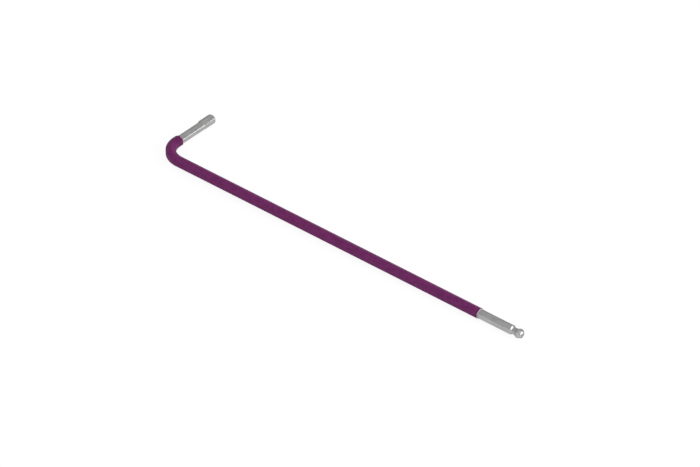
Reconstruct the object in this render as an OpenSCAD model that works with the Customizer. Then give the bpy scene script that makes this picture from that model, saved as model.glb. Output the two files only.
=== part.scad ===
// Long hexagon key with a faceted ball end, a relieved short arm and a thin colour sleeve.
// The long arm runs along +X and the short arm along +Y, and the key lies flat on Z = 0.
// The hexagon's corners point up and down, so flats face the inside and outside of the bend.

/* [Hexagon] */
// Width across the flats of the driving tip and of the ball
drive_af = 2; // [1.8:0.05:2.6]
// How much narrower than the drive the bar is, across its flats
bar_ease = 0.08; // [0.02:0.02:0.2]
// How far each sharp corner of the hexagon is rounded back
corner_break = 0.03; // [0.01:0.01:0.06]

/* [Arms] */
// Length of the long arm, from the bar's outside at the bend to the ball's nose
long_len = 102; // [70:1:140]
// Length of the short arm, from the bar's outside at the bend to the tip
short_len = 17.6; // [16:0.1:26]
// Radius of the bend, at the bar's centre line
bend_r = 5.1; // [4:0.1:7]

/* [Short tip] */
// Length of the full-size hexagon at the end of the short arm
tip_len = 3.4; // [2:0.1:5]
// Length of the shoulder behind the full-size hexagon
tip_ramp = 0.35; // [0.2:0.05:1.2]
// Chamfer round the end of the short arm
tip_chamfer = 0.25; // [0.1:0.05:0.4]
// How much narrower than the drive the bare short shank is, across its flats
shank_ease = 0.22; // [0.1:0.02:0.4]
// How far the shank's inner flat lies under the tip's; the rest of its relief is on the outside
shank_inner_ease = 0.02; // [0.01:0.01:0.04]

/* [Ball end] */
// How far the ball's round surface stands past its own flats
ball_proud = 0.1; // [0.04:0.01:0.14]
// Depth of the neck's flats behind the ball, measured from the ball's flats
neck_depth = 0.28; // [0.16:0.02:0.44]
// Length from the ball's centre to the back of the straight neck behind it
neck_reach = 1.63; // [1.1:0.01:3]
// Length of the taper that brings the bar down to the neck
taper_len = 0.26; // [0.1:0.02:1.2]
// Length cut off the front of the ball
nose_cut = 0.16; // [0.08:0.02:0.3]

/* [Sleeve] */
// Wall of the colour sleeve
sleeve_wall = 0.15; // [0.06:0.01:0.3]
// Straight length of sleeve past the bend, on the short arm
sleeve_past_bend = 0.9; // [0.6:0.1:3]
// Bare length between the sleeve and the ball's nose
ball_end_bare = 11.6; // [8:0.1:20]

/* [Hidden] */
$fn = 96;
quarter_turn = 90;
half_turn = 180;
hexagon_sides = 6;
// Ratio of a hexagon's width across its flats to its width across its corners
flat_ratio = cos(half_turn / hexagon_sides);
// Turns a hexagon that has a corner at the right so that it has one at the top
corner_up = half_turn / hexagon_sides;

bar_af = drive_af - bar_ease;
shank_af = drive_af - shank_ease;
// Most of the shank's relief is on the outside of the bend, so the shank lies nearer the inside
shank_shift = shank_ease / 2 - shank_inner_ease;
// The shoulder's cone starts this far inside the shank's outer flat and comes out through it
shoulder_root = 0.08;
shoulder_root_r = shank_af / 2 - shank_shift - shoulder_root;
sleeve_af = bar_af + 2 * sleeve_wall;
drive_corner_r = corner_radius(drive_af);
bar_corner_r = corner_radius(bar_af);
sleeve_corner_r = bar_corner_r + sleeve_wall;

// Ends of the two arms, counted from the crossing of their centre lines
long_end = long_len - bar_af / 2;
short_end = short_len - bar_af / 2;
sleeve_short_end = bend_r + sleeve_past_bend;
sleeve_long_end = long_end - ball_end_bare;

// The ball's flats are curved along the arm to the same radius as its turned corners
ball_r = drive_af / 2 + ball_proud;
ball_x = long_end - ball_r + nose_cut;
neck_half = drive_af / 2 - neck_depth;
neck_corner_r = corner_radius(2 * neck_half);
taper_reach = neck_reach + taper_len;
taper_back = ball_x - taper_reach;
// The taper starts this far inside the bar's end and under its surface, on a root of this length
taper_root = 0.01;
taper_root_len = 0.2;
taper_start = taper_reach + taper_root;
taper_root_half = bar_af / 2 - taper_root;
taper_root_r = bar_corner_r - taper_root;
// Wider than the ball
cutter_width = 3 * ball_r;

// The frame's origin is under the middle of the key, at the height that it lies on
side_reach = max(sleeve_af, drive_af) / 2;
centre_x = (long_end - side_reach) / 2;
centre_y = (short_end - side_reach) / 2;
axis_z = max(sleeve_corner_r, drive_corner_r);

function corner_radius(af) = af / flat_ratio / 2 - corner_break;

// A sharp hexagon with a corner at the top
module hexagon(af) {
    rotate(corner_up) circle(r = af / flat_ratio / 2, $fn = hexagon_sides);
}

// The same hexagon with its corners rounded to a circle
module hex_section(af, corner_r) {
    intersection() {
        hexagon(af);
        circle(r = corner_r);
    }
}

// Moves the key from the crossing of its centre lines to its own origin
module key_frame() {
    translate([-centre_x, -centre_y, axis_z]) children();
}

// Lays a shape drawn up Z along the long arm, from a place on its centre line
module on_long_arm(start) {
    translate([start, 0, 0]) rotate([quarter_turn, 0, quarter_turn]) children();
}

// Lays a shape drawn up Z along the short arm, from a place on its centre line
module on_short_arm(start) {
    translate([0, start, 0]) rotate([quarter_turn, 0, half_turn]) children();
}

// The bent stretch and its two straight stretches, as far as the two ends given
module bent_stretch(to_x, to_y) {
    on_long_arm(bend_r) linear_extrude(to_x - bend_r) children();
    on_short_arm(bend_r) linear_extrude(to_y - bend_r) children();
    translate([bend_r, bend_r, 0])
        rotate([0, 0, half_turn])
            rotate_extrude(angle = quarter_turn)
                translate([bend_r, 0]) children();
}

// Side view of one pair of flats: taper, neck and the ball's curved flats, along Y from the ball's centre
module flats_profile() {
    polygon([
        [-taper_root_half, -taper_start - taper_root_len],
        [taper_root_half, -taper_start - taper_root_len],
        [taper_root_half, -taper_start],
        [neck_half, -neck_reach],
        [neck_half, 0],
        [-neck_half, 0],
        [-neck_half, -neck_reach],
        [-taper_root_half, -taper_start]
    ]);
    intersection() {
        translate([ball_proud, 0]) circle(r = ball_r);
        translate([-ball_proud, 0]) circle(r = ball_r);
        translate([-ball_r, -ball_r]) square([2 * ball_r, 2 * ball_r - nose_cut]);
    }
}

// Three pairs of flats cut to that side view, which meet in six corners
module milled_flats() {
    intersection() {
        flats_pair(0);
        flats_pair(half_turn / 3);
        flats_pair(2 * half_turn / 3);
    }
}

module flats_pair(turn) {
    rotate([0, 0, turn])
        rotate([quarter_turn, 0, 0])
            linear_extrude(cutter_width, center = true) flats_profile();
}

// The corners are turned: the bar's and the neck's to cylinders, the ball's to a sphere
module turned_corners() {
    translate([0, 0, -taper_start - taper_root_len])
        cylinder(h = taper_root_len, r = taper_root_r);
    translate([0, 0, -taper_start])
        cylinder(h = taper_start - neck_reach, r1 = taper_root_r, r2 = neck_corner_r);
    translate([0, 0, -neck_reach]) cylinder(h = neck_reach, r = neck_corner_r);
    sphere(r = ball_r);
}

// Taper, neck and faceted ball at the end of the long arm
module ball_end() {
    on_long_arm(ball_x)
        intersection() {
            milled_flats();
            turned_corners();
        }
}

// Full-size hexagon at the end of the short arm, with its shoulder and chamfer
module driving_tip() {
    tip_back = short_end - tip_len;
    on_short_arm(tip_back - tip_ramp)
        intersection() {
            linear_extrude(tip_ramp) hex_section(drive_af, drive_corner_r);
            cylinder(h = tip_ramp, r1 = shoulder_root_r, r2 = drive_corner_r);
        }
    on_short_arm(tip_back)
        linear_extrude(tip_len - tip_chamfer) hex_section(drive_af, drive_corner_r);
    on_short_arm(short_end - tip_chamfer)
        intersection() {
            linear_extrude(tip_chamfer) hex_section(drive_af, drive_corner_r);
            cylinder(h = tip_chamfer, r1 = drive_corner_r, r2 = drive_corner_r - tip_chamfer);
        }
}

module steel_bar() {
    color("silver") key_frame() {
        bent_stretch(taper_back, sleeve_short_end) hex_section(bar_af, bar_corner_r);
        on_short_arm(sleeve_short_end)
            linear_extrude(short_end - tip_len - sleeve_short_end)
                translate([-shank_shift, 0]) hex_section(shank_af, corner_radius(shank_af));
        ball_end();
        driving_tip();
    }
}

// Seats face to face on the bar, all the way round it
module colour_sleeve() {
    color("#66305a") key_frame()
        bent_stretch(sleeve_long_end, sleeve_short_end)
            difference() {
                hex_section(sleeve_af, sleeve_corner_r);
                hex_section(bar_af, bar_corner_r);
            }
}

steel_bar();
colour_sleeve();
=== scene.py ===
"""Looks of a long ball-end hex key with a thin purple colour sleeve.

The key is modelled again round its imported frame, which gives the places of both pieces.
"""

import logging
import math
from dataclasses import dataclass
from enum import Enum

import bmesh
import bpy
from mathutils import Matrix, Vector


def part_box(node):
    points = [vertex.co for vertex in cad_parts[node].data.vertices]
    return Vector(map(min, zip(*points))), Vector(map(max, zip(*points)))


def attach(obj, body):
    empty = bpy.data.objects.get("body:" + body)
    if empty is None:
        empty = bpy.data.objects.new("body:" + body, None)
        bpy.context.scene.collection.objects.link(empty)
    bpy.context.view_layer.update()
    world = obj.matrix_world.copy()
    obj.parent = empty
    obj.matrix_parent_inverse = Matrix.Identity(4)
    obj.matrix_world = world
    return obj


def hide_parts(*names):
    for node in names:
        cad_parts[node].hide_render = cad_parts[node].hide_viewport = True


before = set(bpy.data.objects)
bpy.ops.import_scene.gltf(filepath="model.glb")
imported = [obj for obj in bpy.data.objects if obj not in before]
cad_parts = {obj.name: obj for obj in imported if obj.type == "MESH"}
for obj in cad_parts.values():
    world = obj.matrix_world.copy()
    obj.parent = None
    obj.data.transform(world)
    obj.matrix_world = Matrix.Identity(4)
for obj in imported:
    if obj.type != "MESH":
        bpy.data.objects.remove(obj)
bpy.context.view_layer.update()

LOG = logging.getLogger("hex_key")
MM = 0.001
QUARTER_TURN = math.radians(90)
HEXAGON_SIDES = 6
# Ratio of a hexagon's half width across its flats to its half width across its corners
FLAT_RATIO = math.cos(math.pi / HEXAGON_SIDES)


class Arm(Enum):
    """The two arms of the key, and the row axis that each runs along."""

    LONG = (1.0, 0.0, 0.0)
    SHORT = (0.0, 1.0, 0.0)

    @property
    def axis_name(self) -> str:
        """Blender's letter for the arm's axis."""
        return "X" if self is Arm.LONG else "Y"


class Combining(Enum):
    """What stays of two solids, under Blender's names."""

    BOTH = "UNION"
    SHARED = "INTERSECT"


@dataclass(frozen=True)
class KeySizes:
    """The real sizes of the key in millimetres, as the part's source has them."""

    drive_af: float = 2.0
    bar_ease: float = 0.08
    shank_ease: float = 0.22
    shank_inner_ease: float = 0.02
    corner_break: float = 0.03
    bend_r: float = 5.1
    tip_len: float = 3.4
    tip_ramp: float = 0.35
    tip_chamfer: float = 0.25
    shoulder_root: float = 0.08
    ball_proud: float = 0.1
    neck_depth: float = 0.28
    neck_reach: float = 1.63
    taper_len: float = 0.26
    nose_cut: float = 0.16
    sleeve_wall: float = 0.15
    sleeve_past_bend: float = 0.9
    ball_end_bare: float = 11.6

    @property
    def bar_af(self) -> float:
        """Width of the bar across its flats."""
        return self.drive_af - self.bar_ease

    @property
    def shank_af(self) -> float:
        """Width of the bare short shank across its flats."""
        return self.drive_af - self.shank_ease

    @property
    def sleeve_af(self) -> float:
        """Width of the sleeve across its flats."""
        return self.bar_af + 2 * self.sleeve_wall

    @property
    def ball_r(self) -> float:
        """Radius of the ball's round surface."""
        return self.drive_af / 2 + self.ball_proud

    @property
    def neck_half(self) -> float:
        """Half width of the neck across its flats."""
        return self.drive_af / 2 - self.neck_depth

    @property
    def shank_shift(self) -> float:
        """How far the shank lies off the bar's centre line, towards the inside of the bend."""
        return self.shank_ease / 2 - self.shank_inner_ease

    @property
    def shoulder_root_r(self) -> float:
        """Radius at which the driving tip's shoulder starts inside the shank."""
        return self.shank_af / 2 - self.shank_shift - self.shoulder_root

    def corner_r(self, af: float) -> float:
        """Distance from the axis to a rounded corner of a steel hexagon.

        Args:
            af: width across the flats.

        Returns:
            The half width across the corners.
        """
        return af / FLAT_RATIO / 2 - self.corner_break


@dataclass(frozen=True)
class KeyFrame:
    """Places along the key in the row frame in millimetres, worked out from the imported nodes."""

    sizes: KeySizes
    corner: Vector
    long_end: float
    short_end: float

    @classmethod
    def from_nodes(cls, sizes: KeySizes) -> "KeyFrame":
        """Finds the crossing of the centre lines and the two ends from the CAD boxes.

        Args:
            sizes: the sizes of the key.

        Returns:
            The places that both pieces are built from.
        """
        bar_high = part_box("steel_bar")[1] / MM
        sleeve_low, sleeve_high = (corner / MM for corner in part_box("colour_sleeve"))
        half = sizes.sleeve_af / 2
        mid_z = (sleeve_low.z + sleeve_high.z) / 2
        corner = Vector((sleeve_low.x + half, sleeve_low.y + half, mid_z))
        return cls(sizes, corner, bar_high.x - corner.x, bar_high.y - corner.y)

    @property
    def ball_at(self) -> float:
        """Centre of the ball along the long arm."""
        return self.long_end - self.sizes.ball_r + self.sizes.nose_cut

    @property
    def neck_front(self) -> float:
        """Place along the long arm where the neck's flats run out into the ball's."""
        reach = self.sizes.neck_half + self.sizes.ball_proud
        return self.ball_at - math.sqrt(self.sizes.ball_r**2 - reach**2)

    @property
    def neck_back(self) -> float:
        """Back of the straight neck along the long arm."""
        return self.ball_at - self.sizes.neck_reach

    @property
    def taper_back(self) -> float:
        """Place along the long arm where the full bar ends and the taper begins."""
        return self.neck_back - self.sizes.taper_len

    @property
    def sleeve_long_end(self) -> float:
        """End of the sleeve along the long arm."""
        return self.long_end - self.sizes.ball_end_bare

    @property
    def sleeve_short_end(self) -> float:
        """End of the sleeve along the short arm."""
        return self.sizes.bend_r + self.sizes.sleeve_past_bend

    def point(self, arm: Arm, along: float) -> Vector:
        """A point on an arm's centre line.

        Args:
            arm: the arm.
            along: distance from the crossing of the centre lines.

        Returns:
            The point in the row frame, in millimetres.
        """
        return self.corner + Vector(arm.value) * along


class Bench:
    """Modelling moves shared by the pieces, which are made in millimetres and end in metres."""

    # Turns a flat primitive so that it faces along an arm with its first corner up
    SECTION_TURN = {
        Arm.LONG: (QUARTER_TURN, 0.0, QUARTER_TURN),
        Arm.SHORT: (QUARTER_TURN, 0.0, math.pi),
    }
    BEND_STEPS = 32
    TURNED_STEPS = 96
    # A turned solid is turned by one step over this number, so that none of its edges runs
    # along a corner of the hexagon, where a cut would fail
    STEP_PARTS = 3
    SOFT_STEPS = 2
    # Points closer than this are one point, in millimetres
    MERGE_DISTANCE = 1e-5
    # Least cosine between two ways that count as the same
    SAME_WAY = 0.99

    def __init__(self, frame_places: KeyFrame) -> None:
        """Keeps the places that sections are laid on.

        Args:
            frame_places: the places along the key.
        """
        self.places = frame_places

    def add_section(
        self, name: str, arm: Arm, along: float, radius: float, sides: int
    ) -> bpy.types.Object:
        """Adds a filled polygon across an arm and opens it for editing.

        Args:
            name: name of the new piece.
            arm: the arm that it lies across.
            along: its place along the arm.
            radius: distance from the arm's axis to its corners.
            sides: number of corners.

        Returns:
            The new piece, in edit mode with all of it selected.
        """
        bpy.ops.object.select_all(action="DESELECT")
        bpy.ops.mesh.primitive_circle_add(
            vertices=sides,
            radius=radius,
            fill_type="NGON",
            location=self.places.point(arm, along),
            rotation=self.SECTION_TURN[arm],
        )
        piece = bpy.context.active_object
        piece.name = name
        piece.data.name = name
        bpy.ops.object.transform_apply(location=True, rotation=True, scale=True)
        bpy.ops.object.mode_set(mode="EDIT")
        bpy.ops.mesh.select_all(action="SELECT")
        return piece

    def add_hexagon(
        self, name: str, arm: Arm, along: float, af: float, corner_r: float, steps: int
    ) -> bpy.types.Object:
        """Adds a filled hexagon with round corners across an arm.

        Args:
            name: name of the new piece.
            arm: the arm that it lies across.
            along: its place along the arm.
            af: width across the flats.
            corner_r: distance from the axis to the top of a round corner.
            steps: number of steps in each round corner.

        Returns:
            The new piece, in edit mode with all of it selected.
        """
        sharp_r = af / FLAT_RATIO / 2
        piece = self.add_section(name, arm, along, sharp_r, HEXAGON_SIDES)
        # A vertex bevel on a 120 degree corner cuts off 1 - cos(45) of its offset at the middle
        offset = (sharp_r - corner_r) / (1 - math.cos(QUARTER_TURN / 2))
        bpy.ops.mesh.bevel(
            offset_type="OFFSET", offset=offset, segments=steps, affect="VERTICES"
        )
        bpy.ops.mesh.select_all(action="SELECT")
        return piece

    def extrude(self, arm: Arm, distance: float) -> None:
        """Extrudes the selected face along an arm.

        Args:
            arm: the direction.
            distance: how far, negative towards the bend.
        """
        step = Vector(arm.value) * distance
        bpy.ops.mesh.extrude_region_move(TRANSFORM_OT_translate={"value": tuple(step)})

    def scale_face(self, arm: Arm, along: float, factor: float) -> None:
        """Scales the selected face about an arm's axis.

        Args:
            arm: the arm.
            along: place of the face along the arm.
            factor: the new size over the old one.
        """
        centre = self.places.point(arm, along)
        bpy.ops.transform.resize(value=(factor,) * 3, center_override=tuple(centre))

    def draw_out(self, arm: Arm, stations: list[tuple[float, float]]) -> None:
        """Extrudes the selected face from place to place along an arm and scales it at each.

        Args:
            arm: the arm that the face lies across.
            stations: places along the arm and the half width at each, the face's own first.
        """
        for (along, half), (next_along, next_half) in zip(stations, stations[1:]):
            self.extrude(arm, next_along - along)
            self.scale_face(arm, next_along, next_half / half)

    def spin_bend(self) -> None:
        """Spins the selected face of the long arm's end round the bend."""
        bend_r = self.places.sizes.bend_r
        centre = self.places.corner + Vector((bend_r, bend_r, 0.0))
        bpy.ops.mesh.spin(
            steps=self.BEND_STEPS,
            angle=QUARTER_TURN,
            center=tuple(centre),
            axis=(0.0, 0.0, 1.0),
        )

    def turned_solid(
        self, name: str, arm: Arm, stations: list[tuple[float, float]]
    ) -> bpy.types.Object:
        """Builds a turned solid on an arm's axis.

        Args:
            name: name of the solid.
            arm: the arm that is its axis.
            stations: places along the arm and the radius at each.

        Returns:
            The solid, in object mode.
        """
        along, radius = stations[0]
        piece = self.add_section(name, arm, along, radius, self.TURNED_STEPS)
        bpy.ops.transform.rotate(
            value=2 * math.pi / self.TURNED_STEPS / self.STEP_PARTS,
            orient_axis=arm.axis_name,
            center_override=tuple(self.places.point(arm, along)),
        )
        self.draw_out(arm, stations)
        self.close_editing(piece)
        return piece

    def close_editing(self, piece: bpy.types.Object) -> None:
        """Merges doubles, points the faces outwards and leaves edit mode.

        Args:
            piece: the piece in edit mode.
        """
        bpy.ops.mesh.select_all(action="SELECT")
        bpy.ops.mesh.remove_doubles(threshold=self.MERGE_DISTANCE)
        bpy.ops.mesh.normals_make_consistent(inside=False)
        bpy.ops.object.mode_set(mode="OBJECT")

    def select_face(self, piece: bpy.types.Object, at: Vector, normal: Vector) -> None:
        """Selects the one face at a place that looks a certain way.

        Args:
            piece: the piece in edit mode.
            at: a point on the face's plane, at the face's middle.
            normal: the way that the face looks.
        """
        bpy.ops.mesh.select_all(action="DESELECT")
        bpy.ops.mesh.select_mode(type="FACE")
        mesh = bmesh.from_edit_mesh(piece.data)
        facing = [f for f in mesh.faces if f.normal.dot(normal) > self.SAME_WAY]
        nearest = min(facing, key=lambda f: (f.calc_center_median() - at).length)
        nearest.select_set(True)
        bmesh.update_edit_mesh(piece.data)

    def combine(
        self, piece: bpy.types.Object, tool: bpy.types.Object, kept: Combining
    ) -> None:
        """Joins a tool to a piece, or cuts the piece to what both share, and deletes the tool.

        Args:
            piece: the piece that is changed.
            tool: the other solid.
            kept: what stays of the two.
        """
        self.activate(piece)
        modifier = piece.modifiers.new("combine", "BOOLEAN")
        modifier.operation = kept.value
        modifier.solver = "EXACT"
        modifier.object = tool
        bpy.ops.object.modifier_apply(modifier=modifier.name)
        bpy.data.objects.remove(tool, do_unlink=True)

    def activate(self, piece: bpy.types.Object) -> None:
        """Makes a piece the only selected and active one.

        Args:
            piece: the piece.
        """
        bpy.ops.object.select_all(action="DESELECT")
        piece.select_set(True)
        bpy.context.view_layer.objects.active = piece

    def finish(self, piece: bpy.types.Object, soft_edge: float, edge_angle: float) -> None:
        """Softens a piece's sharp edges, smooths its shading and brings it to metres.

        Args:
            piece: the finished solid, in millimetres.
            soft_edge: width of the softened edges.
            edge_angle: least angle of an edge that is softened, in degrees.
        """
        self.activate(piece)
        soft = piece.modifiers.new("soft_edges", "BEVEL")
        soft.width = soft_edge
        soft.segments = self.SOFT_STEPS
        soft.limit_method = "ANGLE"
        soft.angle_limit = math.radians(edge_angle)
        soft.miter_outer = "MITER_ARC"
        bpy.ops.object.modifier_apply(modifier=soft.name)
        bpy.ops.object.mode_set(mode="EDIT")
        bpy.ops.mesh.select_all(action="SELECT")
        bpy.ops.transform.resize(value=(MM,) * 3, center_override=(0.0, 0.0, 0.0))
        bpy.ops.object.mode_set(mode="OBJECT")
        bpy.ops.object.shade_smooth_by_angle(angle=math.radians(edge_angle))
        weighted = piece.modifiers.new("flat_faces_stay_flat", "WEIGHTED_NORMAL")
        weighted.keep_sharp = True
        bpy.ops.object.modifier_apply(modifier=weighted.name)
        open_edges = self.open_edges(piece)
        LOG.info("%s: %d faces, %d open edges", piece.name, len(piece.data.polygons), open_edges)

    def open_edges(self, piece: bpy.types.Object) -> int:
        """Counts the edges that don't lie between two faces.

        Args:
            piece: the piece.

        Returns:
            The number of open or shared edges.
        """
        mesh = bmesh.new()
        mesh.from_mesh(piece.data)
        count = sum(not edge.is_manifold for edge in mesh.edges)
        mesh.free()
        return count


@dataclass
class SteelBar:
    """The bent hexagon bar with its faceted ball, neck, slim shank and driving tip.

    Its lengths are in millimetres and its edge angle is in degrees. The overlap is how far a
    solid reaches into or past the one that it joins or cuts. The clearance and the clear ratio
    keep a turned solid off the surfaces that it leaves as they are.
    """

    sizes: KeySizes
    places: KeyFrame
    bench: Bench
    corner_steps: int = 4
    ball_steps: int = 20
    overlap: float = 0.5
    past_nose: float = 0.05
    shank_step: float = 0.08
    shoulder_rise: float = 0.02
    clearance: float = 0.1
    clear_ratio: float = 2.0
    soft_edge: float = 0.015
    edge_angle: float = 24.0
    name: str = "steel_bar_body"
    node: str = "steel_bar"
    slot: str = "steel"

    def build(self) -> bpy.types.Object:
        """Models the whole bar.

        Returns:
            The bar as one closed mesh, in metres.
        """
        bar = self.long_arm()
        self.bend_and_shank(bar)
        self.bench.combine(bar, self.driving_tip(), Combining.BOTH)
        self.bench.finish(bar, self.soft_edge, self.edge_angle)
        return bar

    def dress(self, bar: bpy.types.Object) -> None:
        """Gives the bar its steel and lets it stand for its CAD node.

        Args:
            bar: the finished bar.
        """
        put_on(bar, DrawnSteel().make(self.places), self.node)

    def long_arm(self) -> bpy.types.Object:
        """Draws out the long arm with its taper, neck and ball, and turns the ball's corners.

        Returns:
            The straight arm, from the bend to the ball's nose.
        """
        sizes, places, bench = self.sizes, self.places, self.bench
        corner_r = sizes.corner_r(sizes.bar_af)
        arm = bench.add_hexagon(
            self.name, Arm.LONG, sizes.bend_r, sizes.bar_af, corner_r, self.corner_steps
        )
        flats = [
            (sizes.bend_r, sizes.bar_af / 2),
            (places.taper_back, sizes.bar_af / 2),
            (places.neck_back, sizes.neck_half),
            *self.ball_arc(places.neck_front, places.long_end, sizes.ball_proud),
        ]
        bench.draw_out(Arm.LONG, flats)
        bench.close_editing(arm)
        clear_r = self.clear_ratio * corner_r
        corners = self.ball_arc(places.neck_front, places.long_end + self.past_nose, 0.0)
        cone_back = places.neck_front - (clear_r - corners[0][1])
        envelope = [(sizes.bend_r - self.overlap, clear_r), (cone_back, clear_r), *corners]
        turned = bench.turned_solid("turned_ball", Arm.LONG, envelope)
        bench.combine(arm, turned, Combining.SHARED)
        return arm

    def ball_arc(self, start: float, end: float, below: float) -> list[tuple[float, float]]:
        """Stations along the ball's arc.

        Args:
            start: first place along the long arm.
            end: last place along the long arm.
            below: how far under the ball's round surface the stations lie.

        Returns:
            Places along the arm and the half width at each, in even steps round the arc.
        """
        centre, radius = self.places.ball_at, self.sizes.ball_r
        first, last = (math.acos((place - centre) / radius) for place in (start, end))
        steps = self.ball_steps
        angles = [first + (last - first) * number / steps for number in range(steps + 1)]
        return [
            (centre + radius * math.cos(angle), radius * math.sin(angle) - below)
            for angle in angles
        ]

    def bend_and_shank(self, bar: bpy.types.Object) -> None:
        """Spins the arm's end face round the bend and draws out the short shank.

        Args:
            bar: the straight long arm.
        """
        sizes, places, bench = self.sizes, self.places, self.bench
        bpy.ops.object.mode_set(mode="EDIT")
        bench.select_face(bar, places.point(Arm.LONG, sizes.bend_r), -Vector(Arm.LONG.value))
        bench.spin_bend()
        bench.extrude(Arm.SHORT, sizes.sleeve_past_bend)
        bench.extrude(Arm.SHORT, self.shank_step)
        shank_start = places.sleeve_short_end + self.shank_step
        bench.scale_face(Arm.SHORT, shank_start, sizes.shank_af / sizes.bar_af)
        bpy.ops.transform.translate(value=(sizes.shank_shift, 0.0, 0.0))
        inside_tip = places.short_end - sizes.tip_len + self.overlap
        bench.extrude(Arm.SHORT, inside_tip - shank_start)
        bench.close_editing(bar)

    def driving_tip(self) -> bpy.types.Object:
        """Cuts a hexagon's two ends to the shoulder and the chamfer.

        Returns:
            The full-size hexagon of the short arm.
        """
        sizes, bench = self.sizes, self.bench
        corner_r = sizes.corner_r(sizes.drive_af)
        end = self.places.short_end
        back = end - sizes.tip_len
        root = back - sizes.tip_ramp
        tip = bench.add_hexagon(
            "tip", Arm.SHORT, root - self.overlap, sizes.drive_af, corner_r, self.corner_steps
        )
        bench.extrude(Arm.SHORT, end + self.overlap - root + self.overlap)
        bench.close_editing(tip)
        envelope = [
            (root, sizes.shoulder_root_r),
            (back, corner_r),
            (back + self.shoulder_rise, corner_r + self.clearance),
            (end - sizes.tip_chamfer - self.clearance, corner_r + self.clearance),
            (end, corner_r - sizes.tip_chamfer),
        ]
        turned = bench.turned_solid("turned_tip", Arm.SHORT, envelope)
        bench.combine(tip, turned, Combining.SHARED)
        return tip


@dataclass
class ColourSleeve:
    """The thin purple sleeve round the bend and most of the long arm.

    Its lengths are in millimetres and its edge angle is in degrees.
    """

    sizes: KeySizes
    places: KeyFrame
    bench: Bench
    corner_steps: int = 6
    lip: float = 0.06
    edge_angle: float = 35.0
    name: str = "colour_sleeve_body"
    node: str = "colour_sleeve"
    slot: str = "sleeve"

    def build(self) -> bpy.types.Object:
        """Models the sleeve as a bent hexagon tube with rounded lips.

        Returns:
            The sleeve as one closed mesh, in metres.
        """
        sizes, places, bench = self.sizes, self.places, self.bench
        corner_r = sizes.corner_r(sizes.bar_af) + sizes.sleeve_wall
        start = places.sleeve_long_end
        sleeve = bench.add_hexagon(
            self.name, Arm.LONG, start, sizes.sleeve_af, corner_r, self.corner_steps
        )
        bench.extrude(Arm.LONG, sizes.bend_r - start)
        bench.spin_bend()
        bench.extrude(Arm.SHORT, sizes.sleeve_past_bend)
        bench.close_editing(sleeve)
        self.open_ends(sleeve)
        wall = sleeve.modifiers.new("wall", "SOLIDIFY")
        wall.thickness = sizes.sleeve_wall
        wall.offset = -1.0
        wall.use_even_offset = True
        bpy.ops.object.modifier_apply(modifier=wall.name)
        bench.finish(sleeve, self.lip, self.edge_angle)
        return sleeve

    def dress(self, sleeve: bpy.types.Object) -> None:
        """Gives the sleeve its purple and lets it stand for its CAD node.

        Args:
            sleeve: the finished sleeve.
        """
        put_on(sleeve, SatinSleeve().make(self.places), self.node)

    def open_ends(self, sleeve: bpy.types.Object) -> None:
        """Deletes the two end faces, so that the sleeve is a tube.

        Args:
            sleeve: the closed sweep.
        """
        places = self.places
        ends = ((Arm.LONG, places.sleeve_long_end), (Arm.SHORT, places.sleeve_short_end))
        bpy.ops.object.mode_set(mode="EDIT")
        for arm, along in ends:
            self.bench.select_face(sleeve, places.point(arm, along), Vector(arm.value))
            bpy.ops.mesh.delete(type="FACE")
        bpy.ops.object.mode_set(mode="OBJECT")


class Wire:
    """A shader value. Python's operators on it add Math nodes."""

    def __init__(self, sheet: "ShaderSheet", socket: bpy.types.NodeSocket) -> None:
        """Wraps an output.

        Args:
            sheet: the sheet that the node is on.
            socket: the output.
        """
        self.sheet = sheet
        self.socket = socket

    def other(self, output: str) -> "Wire":
        """Another output of the same node."""
        return Wire(self.sheet, self.socket.node.outputs[output])

    def math(self, operation: str, first: "Value", second: "Value") -> "Wire":
        """Adds one Math node."""
        return self.sheet.node("ShaderNodeMath", {"operation": operation}, {0: first, 1: second})

    def __add__(self, value: "Value") -> "Wire":
        """This value plus another."""
        return self.math("ADD", self, value)

    def __radd__(self, value: "Value") -> "Wire":
        """Another value plus this one."""
        return self.math("ADD", value, self)

    def __sub__(self, value: "Value") -> "Wire":
        """This value less another."""
        return self.math("SUBTRACT", self, value)

    def __rsub__(self, value: "Value") -> "Wire":
        """Another value less this one."""
        return self.math("SUBTRACT", value, self)

    def __mul__(self, value: "Value") -> "Wire":
        """This value times another."""
        return self.math("MULTIPLY", self, value)

    def __rmul__(self, value: "Value") -> "Wire":
        """Another value times this one."""
        return self.math("MULTIPLY", value, self)

    def __gt__(self, value: "Value") -> "Wire":
        """1 where this value is the greater, else 0."""
        return self.math("GREATER_THAN", self, value)


Value = Wire | float | int | tuple


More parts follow.
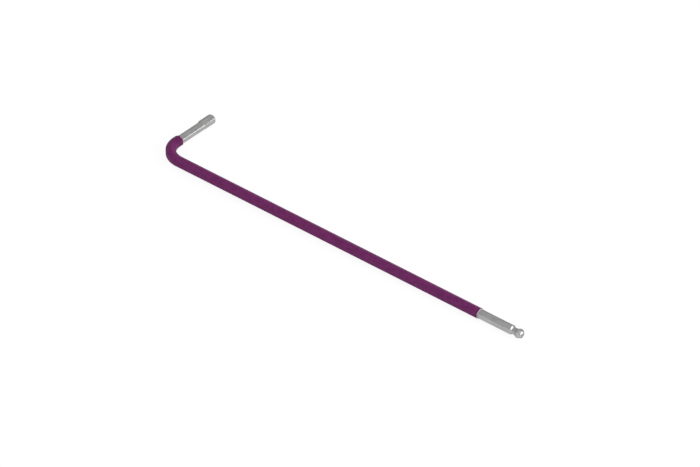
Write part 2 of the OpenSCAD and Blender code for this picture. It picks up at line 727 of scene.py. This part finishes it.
class ShaderSheet:
    """One node tree, written as expressions."""

    PLAIN_DETAIL = 2.0
    # How strong each finer layer of a noise is against the one before
    LAYER_STRENGTH = 0.55
    # The Mix node's sockets for its factor, its two colours and their mixture
    FACTOR, FIRST_COLOUR, SECOND_COLOUR, MIXTURE = 0, 6, 7, 2

    def __init__(self, tree: bpy.types.NodeTree) -> None:
        """Empties a tree.

        Args:
            tree: the node tree of a material or of the world.
        """
        self.tree = tree
        tree.nodes.clear()

    def node(
        self,
        kind: str,
        settings: dict[str, object],
        inputs: dict[str | int, Value],
        output: str | int = 0,
    ) -> Wire | None:
        """Adds one node.

        Args:
            kind: its type.
            settings: its own settings, which are set first.
            inputs: values or links of its sockets, by name or number.
            output: the output that is wanted.

        Returns:
            That output, or nothing from a node that ends a tree.
        """
        made = self.tree.nodes.new(kind)
        for key, value in settings.items():
            setattr(made, key, value)
        for key, value in inputs.items():
            if isinstance(value, Wire):
                self.tree.links.new(value.socket, made.inputs[key])
            else:
                made.inputs[key].default_value = value
        return Wire(self, made.outputs[output]) if made.outputs else None

    def place_mm(self) -> Wire:
        """The place on the piece in the row frame, in millimetres."""
        place = self.node("ShaderNodeTexCoord", {}, {}, "Object")
        return self.stretch(place, (1 / MM,) * 3)

    def stretch(self, vector: Wire, factors: tuple[float, float, float]) -> Wire:
        """A vector with each axis multiplied."""
        return self.node("ShaderNodeVectorMath", {"operation": "MULTIPLY"}, {0: vector, 1: factors})

    def noise(self, vector: Wire, scale: float, detail: float = PLAIN_DETAIL) -> Wire:
        """Smooth noise from 0 to 1.

        Args:
            vector: where it is read.
            scale: its waves for each unit of the vector.
            detail: its number of finer layers.

        Returns:
            The noise.
        """
        inputs = {
            "Vector": vector,
            "Scale": scale,
            "Detail": detail,
            "Roughness": self.LAYER_STRENGTH,
        }
        return self.node("ShaderNodeTexNoise", {"noise_dimensions": "3D"}, inputs, "Fac")

    def ramp(
        self, value: Value, low: float, high: float, at_low: float = 0.0, at_high: float = 1.0
    ) -> Wire:
        """A smooth step from one value to another.

        Args:
            value: what is measured.
            low: where the step begins.
            high: where it ends.
            at_low: result below the step.
            at_high: result above it.

        Returns:
            The stepped value.
        """
        settings = {"interpolation_type": "SMOOTHSTEP"}
        inputs = {
            "Value": value,
            "From Min": low,
            "From Max": high,
            "To Min": at_low,
            "To Max": at_high,
        }
        return self.node("ShaderNodeMapRange", settings, inputs, "Result")

    def blend(self, factor: Value, first: Value, second: Value) -> Wire:
        """Mixes two colours."""
        inputs = {self.FACTOR: factor, self.FIRST_COLOUR: first, self.SECOND_COLOUR: second}
        return self.node("ShaderNodeMix", {"data_type": "RGBA"}, inputs, self.MIXTURE)

    def bump(self, height: Value, depth_mm: float) -> Wire:
        """A bump of a real depth.

        Args:
            height: from 0 to 1.
            depth_mm: depth between 0 and 1, in millimetres.

        Returns:
            The bent normal.
        """
        inputs = {"Height": height, "Distance": depth_mm * MM, "Strength": 1.0}
        return self.node("ShaderNodeBump", {}, inputs)


def new_sheet(name: str) -> tuple[bpy.types.Material, ShaderSheet]:
    """Makes an empty material.

    Args:
        name: its name.

    Returns:
        The material and its sheet.
    """
    material = bpy.data.materials.new(name)
    material.use_nodes = True
    return material, ShaderSheet(material.node_tree)


def grey(value: float) -> tuple[float, float, float, float]:
    """A grey as a colour with full alpha."""
    return (value, value, value, 1.0)


@dataclass(frozen=True)
class DrawnSteel:
    """Bright drawn steel with long drawing marks, and turned rings on the ball end.

    Its lengths are in millimetres. Grain and patches both run from 0 to 1, and the weights say
    what each adds to the tone and to the roughness.
    """

    colour: tuple[float, float, float, float] = (0.59, 0.59, 0.587, 1.0)
    shade: tuple[float, float, float, float] = (0.44, 0.44, 0.438, 1.0)
    edge_tint: tuple[float, float, float, float] = (0.4, 0.4, 0.4, 1.0)
    smooth: float = 0.24
    rough: float = 0.36
    marks_per_mm: float = 7.0
    mark_length: float = 3.0
    mark_detail: float = 5.0
    mark_depth: float = 0.0007
    rings_per_mark: float = 2.0
    turned_fade: float = 0.02
    patches_per_mm: float = 0.6
    tone_weights: tuple[float, float] = (0.7, 0.3)
    tone_span: tuple[float, float] = (0.35, 0.65)
    rough_weights: tuple[float, float] = (0.6, 0.4)
    rough_span: tuple[float, float] = (0.3, 0.7)

    def make(self, places: KeyFrame) -> bpy.types.Material:
        """Builds the material.

        Args:
            places: the places along the key, which say where the rings are.

        Returns:
            The material.
        """
        material, sheet = new_sheet("drawn_steel")
        place = sheet.place_mm()
        x = sheet.node("ShaderNodeSeparateXYZ", {}, {0: place}, "X")
        fine, slow = self.marks_per_mm, 1 / self.mark_length
        # The steel is bare at its two ends, which lie on either side of the frame's middle
        on_long = x > 0.0
        marks_x = self.marks(sheet, place, (slow, fine, fine))
        marks_y = self.marks(sheet, place, (fine, slow, fine))
        marks = marks_x * on_long + marks_y * (1 - on_long)
        turned_from = places.corner.x + places.taper_back
        turned = sheet.ramp(x, turned_from - self.turned_fade, turned_from)
        rings = self.marks(sheet, place, (fine * self.rings_per_mark, slow, slow))
        grain = marks * (1 - turned) + rings * turned
        patches = sheet.noise(place, self.patches_per_mm)
        of_grain, of_patches = self.tone_weights
        tone = sheet.ramp(grain * of_grain + patches * of_patches, *self.tone_span)
        of_grain, of_patches = self.rough_weights
        uneven = grain * of_grain + patches * of_patches
        rough = sheet.ramp(uneven, *self.rough_span, self.smooth, self.rough)
        shader = sheet.node(
            "ShaderNodeBsdfPrincipled",
            {},
            {
                "Base Color": sheet.blend(tone, self.shade, self.colour),
                "Metallic": 1.0,
                "Roughness": rough,
                "Specular Tint": self.edge_tint,
                "Normal": sheet.bump(grain, self.mark_depth),
            },
        )
        sheet.node("ShaderNodeOutputMaterial", {}, {"Surface": shader})
        return material

    def marks(
        self, sheet: ShaderSheet, place: Wire, per_mm: tuple[float, float, float]
    ) -> Wire:
        """Marks left by a tool.

        Args:
            sheet: the material's sheet.
            place: the place on the steel in millimetres.
            per_mm: marks for each millimetre along each axis.

        Returns:
            The marks, from 0 to 1.
        """
        return sheet.noise(sheet.stretch(place, per_mm), 1.0, self.mark_detail)


@dataclass(frozen=True)
class SatinSleeve:
    """Satin purple plastic with a fine orange-peel skin and a painted highlight on each cut lip.

    Its lengths are in millimetres. Its colour deepens towards the edge colour before each end.
    Over the bend this is painted shade, which starts a longer way before the short end. The
    weights say what the peel, the streaks and the patches add to the tone.
    """

    colour: tuple[float, float, float, float] = (0.205, 0.0295, 0.153, 1.0)
    deep: tuple[float, float, float, float] = (0.149, 0.0215, 0.111, 1.0)
    edge: tuple[float, float, float, float] = (0.085, 0.009, 0.062, 1.0)
    edge_start: float = 0.75
    edge_full: float = 0.3
    edge_share: float = 0.55
    # Painted shade over the bend, rising between these distances before the short end
    bend_shade_start: float = 4.2
    bend_shade_full: float = 0.5
    # Pale colour of the lip at each end, a painted highlight
    lip: tuple[float, float, float, float] = (0.72, 0.6, 0.66, 1.0)
    lip_highlight_width: float = 0.16
    smooth: float = 0.48
    rough: float = 0.6
    peel_per_mm: float = 6.0
    peel_detail: float = 3.0
    peel_depth: float = 0.0025
    streaks_per_mm: tuple[float, float, float] = (0.4, 2.5, 2.5)
    patches_per_mm: float = 1.2
    patch_detail: float = 3.0
    tone_weights: tuple[float, float, float] = (0.2, 0.4, 0.4)
    tone_span: tuple[float, float] = (0.38, 0.62)
    rough_span: tuple[float, float] = (0.3, 0.7)
    sheen_of_skin: float = 0.09

    def make(self, places: KeyFrame) -> bpy.types.Material:
        """Builds the material.

        Args:
            places: the places along the key, which say where the sleeve ends.

        Returns:
            The material.
        """
        material, sheet = new_sheet("satin_sleeve")
        place = sheet.place_mm()
        x = sheet.node("ShaderNodeSeparateXYZ", {}, {0: place}, "X")
        y = x.other("Y")
        peel = sheet.noise(place, self.peel_per_mm, self.peel_detail)
        streaks = sheet.noise(sheet.stretch(place, self.streaks_per_mm), 1.0)
        patches = sheet.noise(place, self.patches_per_mm, self.patch_detail)
        of_peel, of_streaks, of_patches = self.tone_weights
        uneven = peel * of_peel + streaks * of_streaks + patches * of_patches
        tone = sheet.ramp(uneven, *self.tone_span)
        body = sheet.blend(tone, self.deep, self.colour)
        long_end = places.corner.x + places.sleeve_long_end
        short_end = places.corner.y + places.sleeve_short_end
        near_long = sheet.ramp(x, long_end - self.edge_start, long_end - self.edge_full)
        # Painted shade: towards the short end the bend is darkened to the edge colour
        painted_bend_shade = sheet.ramp(y, short_end - self.bend_shade_start, short_end - self.bend_shade_full)
        body = sheet.blend((near_long + painted_bend_shade) * self.edge_share, body, self.edge)
        # The lip's width times the mean of two noises, so that its edge is slightly ragged
        ragged = (patches + peel) * (self.lip_highlight_width / 2)
        # Painted highlight: the pale lip colour where the cut lip catches light, at both ends
        long_lip_highlight = x + ragged > long_end
        short_lip_highlight = y + ragged > short_end
        rough = sheet.ramp(peel, *self.rough_span, self.smooth, self.rough)
        shader = sheet.node(
            "ShaderNodeBsdfPrincipled",
            {},
            {
                "Base Color": sheet.blend(long_lip_highlight + short_lip_highlight, body, self.lip),
                "Roughness": rough,
                "Specular IOR Level": self.sheen_of_skin,
                "Normal": sheet.bump(peel, self.peel_depth),
            },
        )
        sheet.node("ShaderNodeOutputMaterial", {}, {"Surface": shader})
        return material


@dataclass(frozen=True)
class PaleFloor:
    """A matt pale floor with a light shadow under the key.

    The camera sees it as white, apart from a share of its real shading that keeps the shadow,
    and what mirrors it sees a share of that white too.
    """

    albedo: float = 0.95
    shadow_share: float = 0.15
    mirrored_share: float = 0.4
    white: float = 1.06

    def make(self) -> bpy.types.Material:
        """Builds the material.

        Returns:
            The material.
        """
        material, sheet = new_sheet("pale_floor")
        camera = sheet.node("ShaderNodeLightPath", {}, {}, "Is Camera Ray")
        paint = sheet.node("ShaderNodeBsdfDiffuse", {}, {"Color": grey(self.albedo)})
        glow = sheet.node("ShaderNodeEmission", {}, {"Color": grey(self.white), "Strength": 1.0})
        mirrored = camera.other("Is Glossy Ray")
        share = camera * (1.0 - self.shadow_share) + mirrored * self.mirrored_share
        both = sheet.node("ShaderNodeMixShader", {}, {0: share, 1: paint, 2: glow})
        sheet.node("ShaderNodeOutputMaterial", {}, {"Surface": both})
        return material


@dataclass(frozen=True)
class Softbox:
    """A flat soft lamp aimed at the key.

    Its sizes are in metres, and its radiance is the brightness that its face shows.
    """

    name: str
    towards: tuple[float, float, float]
    long_side: tuple[float, float, float]
    distance: float
    length: float
    width: float
    radiance: float

    def build(self, target: Vector) -> bpy.types.Object:
        """Adds the lamp.

        Args:
            target: the point that it is aimed at.

        Returns:
            The lamp.
        """
        data = bpy.data.lights.new(self.name, "AREA")
        data.shape = "RECTANGLE"
        data.size, data.size_y = self.length, self.width
        data.energy = math.pi * self.length * self.width * self.radiance
        lamp = bpy.data.objects.new(self.name, data)
        bpy.context.scene.collection.objects.link(lamp)
        away = Vector(self.towards).normalized()
        up = away.cross(Vector(self.long_side)).normalized()
        lamp.location = target + away * self.distance
        lamp.rotation_euler = Matrix((up.cross(away), up, away)).transposed().to_euler()
        return lamp


@dataclass
class Studio:
    """Plain soft studio light, a pale floor, and the camera at the photograph's angle.

    Angles are in degrees and distances in metres. The aim is the middle of the picture, in
    millimetres along the long and the short arm from the crossing of their centre lines.
    """

    places: KeyFrame
    floor: PaleFloor = PaleFloor()
    floor_radius: float = 20.0
    floor_sides: int = 64
    sky: float = 0.56
    lamps: tuple[Softbox, ...] = (
        Softbox(
            name="overhead_softbox",
            towards=(0.25, -0.3, 1.0),
            long_side=(1.0, 0.0, 0.0),
            distance=1.4,
            length=0.6,
            width=0.6,
            radiance=0.5,
        ),
        Softbox(
            name="front_softbox",
            towards=(0.3, -0.9, 0.35),
            long_side=(0.95, 0.3, 0.0),
            distance=1.4,
            length=1.8,
            width=0.9,
            radiance=0.45,
        ),
        Softbox(
            name="right_softbox",
            towards=(0.852, 0.381, 0.364),
            long_side=(-0.03, 0.665, -0.41),
            distance=0.7,
            length=0.8,
            width=0.26,
            radiance=4.5,
        ),
    )
    azimuth: float = 40.806
    elevation: float = 35.746
    distance: float = 3.0
    nearest_seen: float = 0.1
    furthest_seen: float = 50.0
    sensor_mm: float = 36.0
    pixels_per_mm: float = 4.7284
    picture_width: int = 700
    aim: tuple[float, float] = (49.844, 3.954)

    def build(self) -> None:
        """Makes the floor, the lamps, the world and the camera."""
        target = self.places.corner * MM
        target.x += self.aim[0] * MM
        target.y += self.aim[1] * MM
        self.lay_floor()
        for lamp in self.lamps:
            lamp.build(target)
        self.light_world()
        self.set_camera(target)
        bpy.context.scene.view_settings.view_transform = "Standard"

    def lay_floor(self) -> None:
        """Lays the floor under the key."""
        bpy.ops.object.select_all(action="DESELECT")
        bpy.ops.mesh.primitive_circle_add(
            vertices=self.floor_sides, radius=self.floor_radius, fill_type="NGON"
        )
        floor = bpy.context.active_object
        floor.name = "pale_floor"
        floor.data.materials.append(self.floor.make())

    def light_world(self) -> None:
        """Gives the world a plain grey light, seen as white by the camera."""
        world = bpy.data.worlds.new("studio")
        world.use_nodes = True
        bpy.context.scene.world = world
        sheet = ShaderSheet(world.node_tree)
        camera = sheet.node("ShaderNodeLightPath", {}, {}, "Is Camera Ray")
        strength = camera * (1.0 - self.sky) + self.sky
        inputs = {"Color": grey(1.0), "Strength": strength}
        background = sheet.node("ShaderNodeBackground", {}, inputs)
        sheet.node("ShaderNodeOutputWorld", {}, {"Surface": background})

    def set_camera(self, target: Vector) -> None:
        """Sets the camera at the photograph's angle.

        Args:
            target: the point in the middle of the picture.
        """
        turn, rise = math.radians(self.azimuth), math.radians(self.elevation)
        level = math.cos(rise)
        away = Vector((math.sin(turn) * level, -math.cos(turn) * level, math.sin(rise)))
        data = bpy.data.cameras.new("camera")
        data.sensor_width = self.sensor_mm
        pixels_at_distance = self.pixels_per_mm / MM * self.distance
        data.lens = pixels_at_distance * data.sensor_width / self.picture_width
        data.clip_start, data.clip_end = self.nearest_seen, self.furthest_seen
        camera = bpy.data.objects.new("camera", data)
        bpy.context.scene.collection.objects.link(camera)
        camera.location = target + away * self.distance
        camera.rotation_euler = (QUARTER_TURN - rise, 0.0, turn)
        bpy.context.scene.camera = camera


def put_on(piece: bpy.types.Object, material: bpy.types.Material, node: str) -> None:
    """Dresses a piece and lets it stand for its CAD node.

    Args:
        piece: the modelled piece.
        material: its finish.
        node: the CAD node that it replaces.
    """
    piece.data.materials.clear()
    piece.data.materials.append(material)
    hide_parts(node)
    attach(piece, "root")
    LOG.info("%s stands for %s", piece.name, node)


def main() -> None:
    """Builds the key, dresses it, and sets the studio round it."""
    logging.basicConfig(level=logging.INFO, format="%(name)s: %(message)s")
    sizes = KeySizes()
    places = KeyFrame.from_nodes(sizes)
    bench = Bench(places)
    for piece in (SteelBar(sizes, places, bench), ColourSleeve(sizes, places, bench)):
        piece.dress(piece.build())
    Studio(places).build()


if __name__ == "__main__":
    main()
